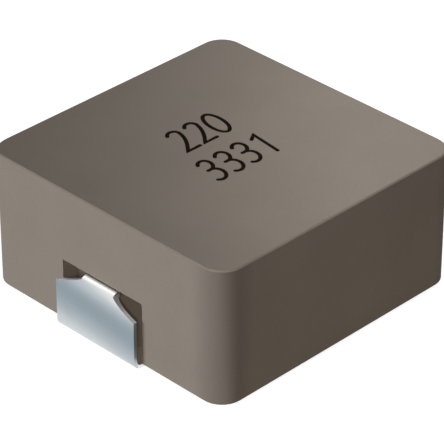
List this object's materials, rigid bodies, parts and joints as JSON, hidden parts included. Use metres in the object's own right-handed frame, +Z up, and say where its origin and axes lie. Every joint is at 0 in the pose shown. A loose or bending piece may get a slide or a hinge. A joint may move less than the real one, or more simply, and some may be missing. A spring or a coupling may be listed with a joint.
{
  "type": "shielded smd inductor",
  "caption": "Square moulded power inductor: a flat-wire coil inside a pressed powder block, with folded solder terminals recessed into opposite end faces.",
  "frame": {"origin": "on the circuit board, below the middle of the part: the undersides of the terminal tabs are at z = 0", "axes": "+X from the left terminal to the right terminal, +Y along the end faces, +Z up from the board"},
  "size_m": [0.0132, 0.0126, 0.0059],
  "materials": {
    "pressed_powder": "satin",
    "enamelled_copper": "gloss",
    "tinned_copper": "satin"
  },
  "bodies": {
    "root": {"moulded_body": "pressed_powder", "winding": "enamelled_copper", "terminal_left": "tinned_copper", "terminal_right": "tinned_copper"}
  },
  "joints": []
}
